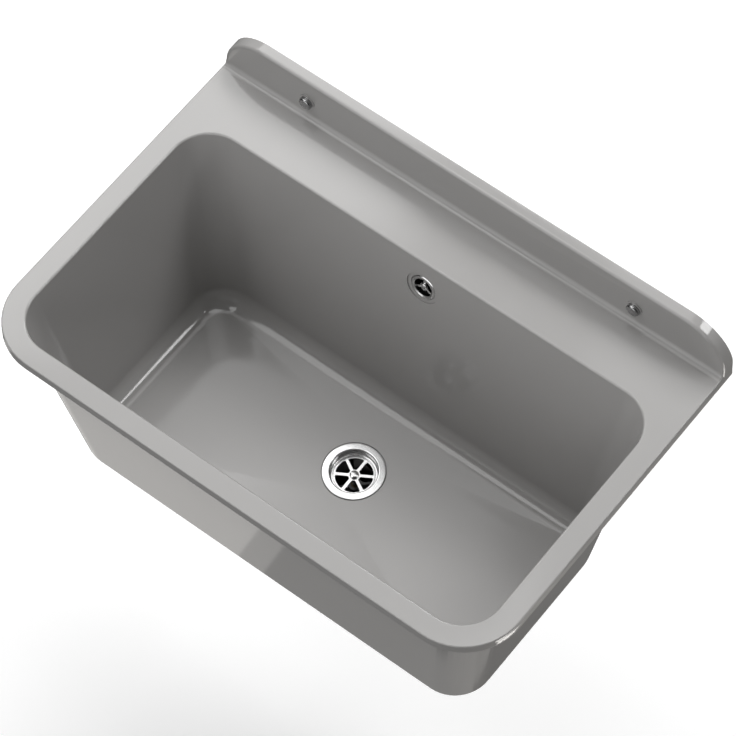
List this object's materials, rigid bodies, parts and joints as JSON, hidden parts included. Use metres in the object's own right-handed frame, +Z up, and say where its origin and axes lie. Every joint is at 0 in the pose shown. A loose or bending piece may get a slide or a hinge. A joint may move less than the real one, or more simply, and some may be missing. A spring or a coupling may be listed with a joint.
{
  "type": "mop service sink",
  "caption": "Wall-hung moulded utility sink with a low splashback, deep tapered bowl, strainer waste, overflow and ribbed overflow hose.",
  "frame": {"origin": "on the wall plane, midway between the two holes for the wall screws", "axes": "+X along the wall to the right seen from the room, +Y into the wall, +Z up"},
  "size_m": [0.613, 0.402, 0.3636],
  "materials": {
    "moulded_basin": "smooth gloss",
    "chromed_cover": "satin chrome",
    "polished_steel": "polished",
    "nylon": "satin",
    "black_rubber": "matt",
    "black_fitting": "satin",
    "ribbed_hose": "satin",
    "brass_insert": "turned"
  },
  "bodies": {
    "sink": {"basin": "moulded_basin", "left_collar_washer": "nylon", "right_collar_washer": "nylon", "left_screw_cover": "chromed_cover", "right_screw_cover": "chromed_cover", "strainer": "polished_steel", "drain_top_seal": "black_rubber", "drain_lower_seal": "black_rubber", "waste_body": "black_fitting", "waste_insert": "brass_insert", "overflow_rosette": "polished_steel", "overflow_seal": "black_rubber", "overflow_elbow": "black_fitting", "overflow_insert": "brass_insert", "upper_hose_seal": "black_rubber", "upper_hose_cuff": "black_fitting", "overflow_hose": "ribbed_hose", "lower_hose_seal": "black_rubber", "lower_hose_cuff": "black_fitting"},
    "drain_screw": {"drain_screw": "polished_steel"},
    "overflow_screw": {"overflow_screw": "polished_steel"},
    "upper_union_nut": {"upper_union_nut": "black_fitting"},
    "lower_union_nut": {"lower_union_nut": "black_fitting"}
  },
  "joints": [
    {"name": "drain_screw_turn", "type": "hinge", "parent": "sink", "child": "drain_screw", "pos_m": [0, -0.214, -0.2525], "axis": [0, 0, 1], "continuous": true},
    {"name": "overflow_screw_turn", "type": "hinge", "parent": "sink", "child": "overflow_screw", "pos_m": [0, -0.0904, -0.0595], "axis": [0, 0.9806, -0.1961], "continuous": true},
    {"name": "upper_union_nut_turn", "type": "hinge", "parent": "sink", "child": "upper_union_nut", "pos_m": [0, -0.051, -0.10138], "axis": [0, 0, 1], "continuous": true},
    {"name": "lower_union_nut_turn", "type": "hinge", "parent": "sink", "child": "lower_union_nut", "pos_m": [0, -0.166, -0.2855], "axis": [0, 1, 0], "continuous": true}
  ]
}
